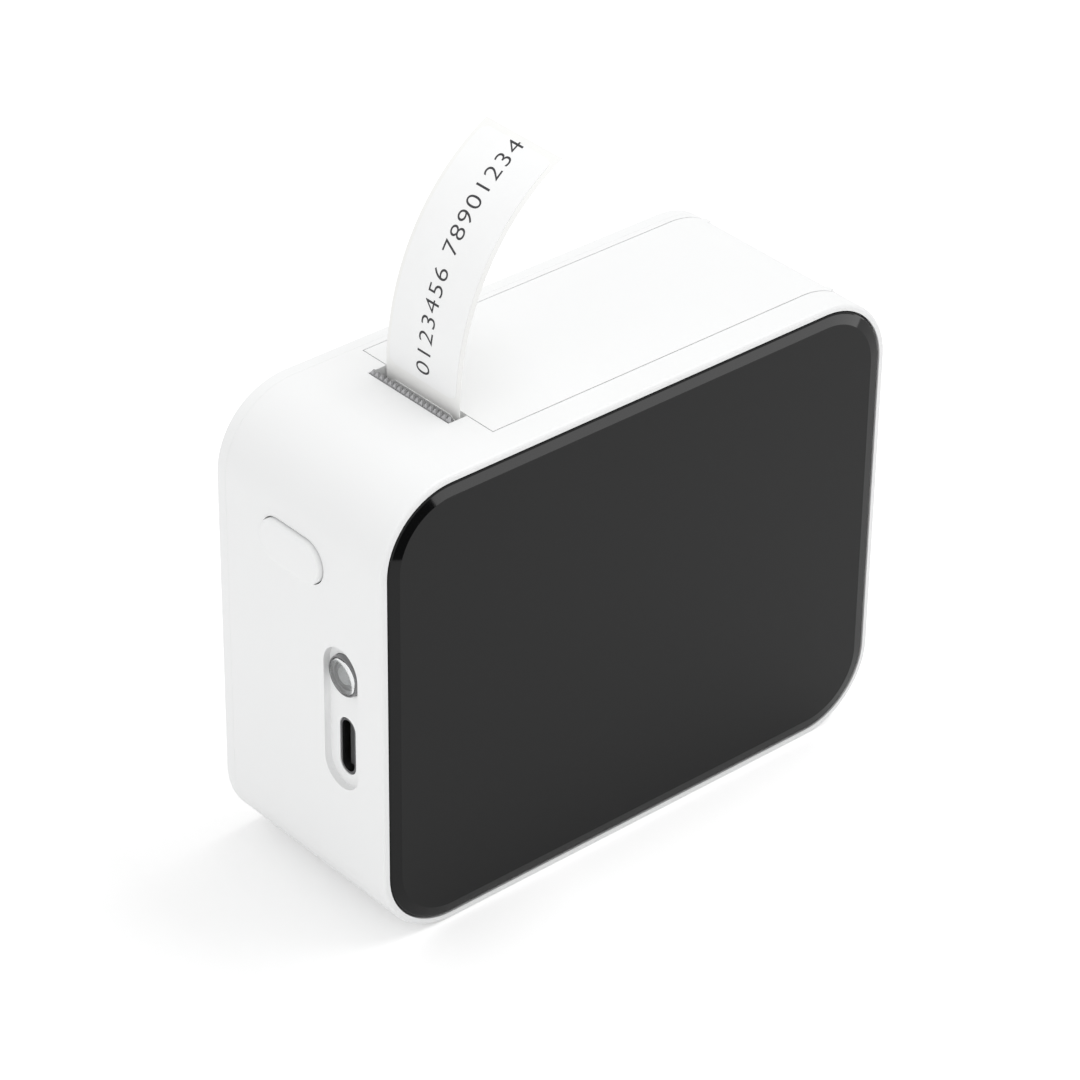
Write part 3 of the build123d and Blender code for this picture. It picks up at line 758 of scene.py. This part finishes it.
# %% Cap, core and ring
def clear_cap():
    f = Finish("clear_cap")
    polish = f.noise(scale=300.0)
    f.set({"Base Color": f.mix(polish, (0.86, 0.88, 0.88), (0.92, 0.93, 0.93)),
           "Roughness": 0.03 + polish * 0.02, "Transmission Weight": 1.0, "IOR": 1.49})
    return f.material


cap_clear = clear_cap()
guide_grey = plain("grey_guide_ring", (0.22, 0.22, 0.225), 0.25, scale=500, bite=0.05)
guide_core = plain("frosted_core", (0.42, 0.43, 0.43), 0.35, scale=600, bite=0.1)
print("made", cap_clear.name, guide_grey.name, guide_core.name)

# %% [markdown]
# ## Power button
# Its three pieces are turned round an axis that runs into the left end. The
# collar lies behind the cap, goes up round the outside of it to a small lip,
# and is widest at the flange behind the wall.

# %% Power button
cap_profile = [(0.0, -46.0), (1.2, -45.98), (2.0, -45.92), (2.5, -45.80), (2.7, -45.66),
               (2.74, -45.4), (2.74, -44.75), (0.0, -44.75)]
core_profile = [(0.0, -44.72), (1.15, -44.72), (1.25, -44.66), (1.3, -44.5), (1.3, -42.5),
                (0.0, -42.5)]
collar_profile = [(1.35, -44.3), (1.9, -44.34), (2.0, -44.70), (2.55, -44.72), (2.76, -44.72),
                  (2.78, -45.55), (2.86, -45.66), (3.0, -45.62), (3.08, -45.45),
                  (3.08, -43.9), (3.9, -43.9), (3.9, -43.1), (1.35, -43.1), (1.35, -44.3)]
power_pieces = [("power_cap", cap_profile, cap_clear, ("power_lens",)),
                ("power_core", core_profile, guide_core, ()),
                ("power_collar", collar_profile, guide_grey, ())]
power_centre = (0, recess_y, power_z)
for name, profile, material, stands_for in power_pieces:
    mesh = turned(name, profile, power_centre, along_x, steps=48, angle=30)
    link_piece(name, mesh, "power", material, stands_for)

# %% [markdown]
# ## Label roll
# Wound labels never line up to a hair: each turn sits a few hundredths in or
# out, which draws the rings on the roll's two faces. The profile steps in
# and out by chance, with a fixed seed, and is spun round the roll's axis.

# %% Label roll
rng = random.Random(5)
ring_step, ring_part, deepest_dip, shoulder, core_gap = 0.42, 0.86, 0.09, 0.1, 0.02
front_at, back_at = tape_front / MM, tape_back / MM
ring_count = int((roll_r - core_r) / MM / ring_step)
front_side = []
back_side = []
for i in range(ring_count):
    r = core_r / MM + core_gap + i * ring_step
    dip = rng.uniform(0.0, deepest_dip)
    front_side += [(r, front_at + dip), (r + ring_step * ring_part, front_at + dip)]
    back_side += [(r, back_at - dip), (r + ring_step * ring_part, back_at - dip)]
outside = [(roll_r / MM, front_at + shoulder), (roll_r / MM, back_at - shoulder)]
roll_profile = front_side + outside + back_side[::-1] + [front_side[0]]
roll_centre = (roll_x, 0, roll_z)
roll_mesh = turned("wound_labels", roll_profile, roll_centre, along_y, steps=96, angle=40)
link_piece("wound_labels", roll_mesh, "roll", roll_paper, ("label_roll",))
print("roll rings", ring_count)

# %% [markdown]
# ## Labels on the roll
# The outermost turn carries die cut labels with a strip of bare liner
# between them. Each one is a thin section that spin carries part of the way
# round the roll.

# %% Labels on the roll
roll_label_t, roll_label_out = 0.05 * MM, 0.01 * MM


def roll_label(bm, start, span):
    """One label on the roll's outside, from the angle start over the angle span."""
    section = bmesh.ops.create_grid(bm, x_segments=1, y_segments=6, size=0.5)["verts"]
    faces = list({f for v in section for f in v.link_faces})
    bmesh.ops.scale(bm, vec=(roll_label_t, label_wide, 1), verts=section)
    bmesh.ops.translate(bm, vec=(roll_r + roll_label_out, tape_mid, 0), verts=section)
    bmesh.ops.rotate(bm, cent=(0, 0, 0), matrix=Matrix.Rotation(start, 3, "Y"), verts=section)
    edges = list({e for f in faces for e in f.edges})
    bmesh.ops.spin(bm, geom=section + edges + faces, cent=(0, 0, 0), axis=along_y,
                   dvec=(0, 0, 0), angle=span, steps=36, use_merge=False,
                   use_duplicate=False)


label_count = 3
label_gap = math.radians(8)
label_turn = 2 * math.pi / label_count
labels_bm = bmesh.new()
for i in range(label_count):
    roll_label(labels_bm, i * label_turn, label_turn - label_gap)
bmesh.ops.recalc_face_normals(labels_bm, faces=labels_bm.faces)
labels_mesh = finished_mesh(labels_bm, "roll_labels", angle=40,
                            place=Matrix.Translation(roll_centre))
link_piece("roll_labels", labels_mesh, "roll", label_paper, ())

# %% [markdown]
# ## Springs
# A coil is a wire section that is turned and moved along at the same time,
# which spin does when it is given a step along the axis. The two open ends
# are filled afterwards.

# %% Springs
steps_per_turn, wire_sides = 28, 10


def coil(name, x0, x1, y, z, radius, wire, turns, body, replaced):
    """Coil spring along X, all sizes in millimetres. wire is the wire's radius."""
    steps = steps_per_turn * turns
    bm = bmesh.new()
    bmesh.ops.create_circle(bm, cap_ends=False, radius=wire * MM, segments=wire_sides)
    bmesh.ops.translate(bm, vec=((x0 + wire) * MM, radius * MM, 0), verts=bm.verts)
    run = (x1 - x0 - 2 * wire) * MM / steps
    bmesh.ops.spin(bm, geom=bm.verts[:] + bm.edges[:], cent=(0, 0, 0), axis=along_x,
                   dvec=(run, 0, 0), angle=2 * math.pi * turns, steps=steps,
                   use_merge=False, use_duplicate=False)
    bmesh.ops.holes_fill(bm, edges=[e for e in bm.edges if e.is_boundary], sides=0)
    bmesh.ops.recalc_face_normals(bm, faces=bm.faces)
    mesh = finished_mesh(bm, name, angle=50, place=Matrix.Translation((0, y * MM, z * MM)))
    link_piece(name, mesh, body, spring_steel, (replaced,))


coil("head_spring_coil", x0=-33.95, x1=-28.85, y=0.15, z=63.45, radius=1.7, wire=0.2,
     turns=5, body="housing", replaced="head_spring")
coil("latch_spring_coil", x0=-41.5, x1=-37.1, y=1.0, z=60.3, radius=1.5, wire=0.17,
     turns=5, body="release", replaced="latch_spring")

# %% [markdown]
# ## Small parts on the board
# A board is read by its small parts: rows of resistors and capacitors with
# bright ends, legs along the chips, and the socket's gold contacts. Each is
# a box with broken edges, and many boxes are joined into one piece, because
# they never move apart. They stand a few hundredths off the board, as parts
# on solder do.

# %% Boxes
board_front, board_back = -12.2, -10.6


def boxes(name, sizes, material, edge):
    """One piece made of many small boxes, each (x, y, z, wide, deep, high) in mm."""
    bm = bmesh.new()
    for x, y, z, wide, deep, high in sizes:
        size = Matrix.Diagonal((wide * MM, deep * MM, high * MM, 1))
        place = Matrix.Translation((x * MM, y * MM, z * MM))
        bmesh.ops.create_cube(bm, size=1.0, matrix=place @ size)
    round_edges(bm, bm.edges[:], edge * MM, segments=1)
    link_piece(name, finished_mesh(bm, name, angle=30), "housing", material, ())
    print(name, "boxes", len(sizes))


print("board thickness mm", round(board_back - board_front, 2))

# %% [markdown]
# ## Rows of capacitors
# A row starts at a place on the board and repeats with a pitch, a little
# uneven as machine-set parts are. Each body gets two soldered ends, left and
# right of it or, on an upright one, above and below.

# %% Capacitors
board_rows = [(-35.0, 34.0, 6, False), (-33.0, 24.0, 5, True), (-9.0, 43.6, 9, False),
              (-8.0, 40.4, 8, True), (-24.0, 21.0, 4, False)]
uneven, end_shift = 0.15, 0.47
chip_y, chip_deep = board_back + 0.24, 0.42
end_y, end_deep = board_back + 0.25, 0.46
chip_bodies = []
chip_ends = []
for x0, z, count, upright in board_rows:
    pitch = 1.9 if upright else 2.4
    wide, high = (0.6, 0.7) if upright else (0.7, 0.6)
    end_wide, end_high = (0.62, 0.26) if upright else (0.26, 0.62)
    for i in range(count):
        x = x0 + i * pitch + rng.uniform(-uneven, uneven)
        chip_bodies.append((x, chip_y, z, wide, chip_deep, high))
        for side in (-end_shift, end_shift):
            end_x, end_z = (x, z + side) if upright else (x + side, z)
            chip_ends.append((end_x, end_y, end_z, end_wide, end_deep, end_high))
boxes("board_capacitors", chip_bodies, tan_chip, edge=0.05)

# %% [markdown]
# ## Legs of the chips
# The legs run along all four sides of a chip at a fixed pitch, as many as
# its side has room for. They are bright like the capacitors' ends, so they
# join the same piece.

# %% Legs
chips = [(-28.0, 30.0, 7.0), (-14.0, 36.0, 5.0), (2.0, 30.0, 4.0)]
leg_pitch, leg_wide, leg_long, leg_out = 0.65, 0.26, 0.42, 0.2
leg_y, leg_deep = board_front - 0.08, 0.12
for x, z, chip_size in chips:
    legs = int(chip_size / leg_pitch)
    leg_reach = chip_size / 2 + leg_out
    for i in range(legs):
        at = (i - (legs - 1) / 2) * leg_pitch
        for side in (-leg_reach, leg_reach):
            chip_ends.append((x + at, leg_y, z + side, leg_wide, leg_deep, leg_long))
            chip_ends.append((x + side, leg_y, z + at, leg_long, leg_deep, leg_wide))
boxes("soldered_ends", chip_ends, solder, edge=0.04)

# %% [markdown]
# ## Contacts of the socket
# Two rows of twelve thin gold strips lie on the tongue, one row on each of
# its faces, and are spread evenly about the middle of the socket.

# %% Contacts
contact_count, contact_pitch, tongue_half = 12, 0.5, 0.36
contact_x, contact_long, contact_t, contact_wide = -42.6, 2.6, 0.03, 0.26
lowest_contact = socket_z / MM - (contact_count - 1) / 2 * contact_pitch
contacts = [(contact_x, recess_y / MM + side, lowest_contact + contact_pitch * i,
             contact_long, contact_t, contact_wide)
            for i in range(contact_count) for side in (-tongue_half, tongue_half)]
boxes("socket_contacts", contacts, gold, edge=0.005)

# %% [markdown]
# ## The label path
# The tape leaves the roll on a tangent, bends round the platen, rises
# through the slot and then leans over to the right. Its lengths follow from
# the two circles and the line that touches both.

# %% Path
web_r = platen_r + path_gap + liner_t / 2
roll_centre_xz, platen_centre_xz = Vector((roll_x, roll_z)), Vector((platen_x, platen_z))
reach = platen_centre_xz - roll_centre_xz
leave = roll_r + liner_t
touch = math.atan2(reach.y, reach.x) + math.acos((leave - web_r) / reach.length)
tangent_side = Vector((math.cos(touch), math.sin(touch)))
line_from = roll_centre_xz + leave * tangent_side
line_to = platen_centre_xz + web_r * tangent_side
line_len = (line_to - line_from).length
bend_len = web_r * (touch - math.pi)
slot_at = line_len + bend_len + height - platen_z
web_len = slot_at + free_len
print("web length mm", round(web_len / MM, 2), "to the slot", round(slot_at / MM, 2))

# %% [markdown]
# ## A place on the path
# station gives the place on the path, and the direction that the printed
# side faces there, for any distance along it. The lean grows with a power
# of the distance, which has no simple integral, so the free part is added
# up in short steps.

# %% Station
lean_steps = 60


def station(s):
    """Middle of the liner and its outward normal in XZ, s metres from the roll."""
    if s <= line_len:
        return line_from.lerp(line_to, s / line_len), tangent_side
    if s <= line_len + bend_len:
        a = touch - (s - line_len) / web_r
        n = Vector((math.cos(a), math.sin(a)))
        return platen_centre_xz + web_r * n, n
    if s <= slot_at:
        z = platen_z + s - line_len - bend_len
        return Vector((platen_x - web_r, z)), Vector((-1, 0))
    ds = (s - slot_at) / lean_steps
    p = Vector((platen_x - web_r, height))
    for i in range(lean_steps):
        a = free_turn * (((i + 0.5) * ds) / free_len) ** free_power
        p += Vector((math.sin(a), math.cos(a))) * ds
    a = free_turn * ((s - slot_at) / free_len) ** free_power
    return p, Vector((-math.cos(a), math.sin(a)))


print("free end at mm", tuple(round(v / MM, 2) for v in station(web_len)[0]))

# %% [markdown]
# ## Liner and labels
# Each strip is a flat grid with its real thickness that is laid along the
# path. Bending a grid keeps the faces even, which a boolean would not. A
# label's corners are rounded by drawing its long sides in near the ends.

# %% Strips
strip_step = 0.55 * MM


def strip(name, s0, s1, margin, inner, outer, material, replaced, round_r=0.0):
    """Thin strip from s0 to s1 of the path, between two offsets from the liner's middle."""
    y0, y1 = tape_front + margin, tape_back - margin
    bm = bmesh.new()
    count = int((s1 - s0) / strip_step)
    bmesh.ops.create_grid(bm, x_segments=count, y_segments=6, size=0.5)
    bmesh.ops.solidify(bm, geom=bm.faces[:], thickness=-1.0)
    low = min(v.co.z for v in bm.verts)
    high = max(v.co.z for v in bm.verts)
    for v in bm.verts:
        s = s0 + (v.co.x + 0.5) * (s1 - s0)
        y = y0 + (v.co.y + 0.5) * (y1 - y0)
        off = inner + (v.co.z - low) / (high - low) * (outer - inner)
        along = min(s - s0, s1 - s)
        if along < round_r:
            cut = round_r - math.sqrt(max(0.0, round_r ** 2 - (round_r - along) ** 2))
            y = min(max(y, y0 + cut), y1 - cut)
        p, n = station(s)
        p = p + n * off
        v.co = (p.x, y, p.y)
    bmesh.ops.recalc_face_normals(bm, faces=bm.faces)
    link_piece(name, finished_mesh(bm, name, angle=40), "housing", material, replaced)
    print(name, "flat size mm", round((s1 - s0) / MM, 1), "by", round((y1 - y0) / MM, 1))


half = liner_t / 2
margin = (tape_back - tape_front - label_wide) / 2
label_corner, label_len, cut_gap = 1.2 * MM, 36 * MM, 0.3 * MM
label_from = slot_at + 2 * free_step
label_to = web_len - free_step
strip("liner_strip", 0.0, web_len, 0.0, -half, half,
      liner_paper, ("liner_tape",))
strip("label_strip", label_from, label_to, margin, half, half + label_t,
      label_paper, ("printed_label",), label_corner)
strip("next_label_strip", slot_at - label_len, slot_at - cut_gap, margin, half,
      half + label_t, label_paper, ("next_label",), label_corner)

# %% [markdown]
# ## Flat text
# The printer burns its characters into the paper, so they have no height.
# Here they start as flat text, brought to its real height and cut into
# narrow slices, because a flat face can only follow a curve in short pieces.

# %% Flat text
slice_len = 0.5 * MM
thinner = -0.008


def flat_text(name, text, cap, spread):
    """Mesh and bmesh of a row of characters, cap high, that starts at X = 0."""
    curve = bpy.data.curves.new(name, "FONT")
    curve.body = text
    curve.align_y = "CENTER"
    curve.size = 1.0
    curve.space_character = spread
    curve.offset = thinner
    temp = bpy.data.objects.new(name + "_flat", curve)
    scene.collection.objects.link(temp)
    bpy.context.view_layer.update()
    depsgraph = bpy.context.evaluated_depsgraph_get()
    mesh = bpy.data.meshes.new_from_object(temp.evaluated_get(depsgraph))
    bpy.data.objects.remove(temp)
    bm = bmesh.new()
    bm.from_mesh(mesh)
    left = min(v.co.x for v in bm.verts)
    low = min(v.co.y for v in bm.verts)
    high = max(v.co.y for v in bm.verts)
    scale = cap / (high - low)
    bmesh.ops.translate(bm, vec=(-left, -(low + high) / 2, 0), verts=bm.verts)
    bmesh.ops.scale(bm, vec=(scale, scale, 1), verts=bm.verts)
    long = max(v.co.x for v in bm.verts)
    for i in range(1, int(long / slice_len) + 1):
        bmesh.ops.bisect_plane(bm, geom=bm.verts[:] + bm.edges[:] + bm.faces[:],
                               plane_co=(i * slice_len, 0, 0), plane_no=(1, 0, 0))
    return mesh, bm, long


print("text is cut every", slice_len / MM, "mm")

# %% [markdown]
# ## Print on the label
# The slices are laid along the same path as the label, a hundredth of a
# millimetre above it. The characters are plain figures.

# %% Figures
ink_lift, text_start, text_high = 0.012 * MM, 1.2 * MM, 2.75 * MM


def printed_row(name, text, s_from, spread):
    """A row of characters that runs along the middle of the tape from s_from."""
    mesh, bm, long = flat_text(name, text, text_high, spread)
    for v in bm.verts:
        p, n = station(s_from + v.co.x)
        p = p + n * (half + label_t + ink_lift)
        v.co = (p.x, tape_mid + v.co.y, p.y)
    bmesh.ops.recalc_face_normals(bm, faces=bm.faces)
    # The label's printed side faces left, so its ink does too
    if sum(f.normal.x for f in bm.faces) > 0:
        bmesh.ops.reverse_faces(bm, faces=bm.faces)
    bm.to_mesh(mesh)
    bm.free()
    link_piece(name, mesh, "housing", ink, ())
    print(name, "runs", round(long / MM, 1), "mm of", round((label_to - s_from) / MM, 1))


printed_row("label_figures", "0123456 78901234", label_from + text_start, spread=1.14)

# %% [markdown]
# ## Floor
# The floor is a plain pale sheet that keeps the soft shadow where the body
# stands. To the camera it also glows a little, which is painted light that
# lightens that shadow: less at the left, where the photograph has its
# shadow, and more to the right and far away, where the photograph is plain
# white. The glow lights nothing else.

# %% Floor
def flat_card(name, x0, x1, y0, y1, z, material):
    """Level rectangle that belongs to the studio, not to the printer."""
    bm = bmesh.new()
    bmesh.ops.create_grid(bm, x_segments=1, y_segments=1, size=0.5)
    bmesh.ops.scale(bm, vec=(x1 - x0, y1 - y0, 1), verts=bm.verts)
    bmesh.ops.translate(bm, vec=((x0 + x1) / 2, (y0 + y1) / 2, z), verts=bm.verts)
    mesh = bpy.data.meshes.new(name)
    bm.to_mesh(mesh)
    bm.free()
    obj = bpy.data.objects.new(name, mesh)
    scene.collection.objects.link(obj)
    dress(obj, material)
    print(name, "from", x0, y0, "to", x1, y1)
    return obj


shadow_reach, right_from = 0.07, 0.062
far_slope, right_slope = 3.0, 22.0
floor_glow, right_glow, far_glow = 0.15, 0.44, 0.6


def floor_with_painted_fill():
    f = Finish("floor_with_painted_fill")
    seen = f.make("ShaderNodeLightPath")["Is Camera Ray"]
    at = f.make("ShaderNodeSeparateXYZ", {}, {0: f.place()})
    away = (at["X"] * at["X"] + at["Y"] * at["Y"]) ** 0.5
    far = f.maths("MULTIPLY", away - shadow_reach, far_slope, clamped=True)
    right = f.maths("MULTIPLY", at["X"] + right_from, right_slope, clamped=True)
    # Painted light: a glow seen by the camera only, which lightens the floor's shadow, least at the
    # left and most to the right and far away
    painted_fill = seen * (right * right_glow + floor_glow + far * far_glow)
    f.set({"Base Color": (0.97, 0.97, 0.97), "Roughness": 0.9, "Specular IOR Level": 0.0,
           "Emission Strength": 0.5, "Emission Color": f.mix(painted_fill, (0, 0, 0), (1, 1, 1))})
    return f.material


flat_card("floor", -3, 3, -3, 3, -0.02 * MM, floor_with_painted_fill())

# %% [markdown]
# ## Cards on the table
# A mirror shows what lies around it. Photographers lay a black and a white
# card on the table, outside the picture, to draw the bevels of a glossy
# panel. These two are seen by reflections only and cast no shadow.

# %% Cards
def card(name, x0, x1, y0, y1, strength):
    f = Finish(name)
    f.set({"Base Color": (0, 0, 0), "Roughness": 1.0, "Specular IOR Level": 0.0,
           "Emission Color": (1, 1, 1), "Emission Strength": strength})
    obj = flat_card(name, x0, x1, y0, y1, 0.5 * MM, f.material)
    for ray in ("camera", "diffuse", "transmission", "volume_scatter", "shadow"):
        setattr(obj, "visible_" + ray, False)


card("black_card", -0.02, 0.085, -0.50, -0.135, strength=0.0)
card("white_card", 0.085, 0.60, -0.60, -0.135, strength=3.2)

# %% [markdown]
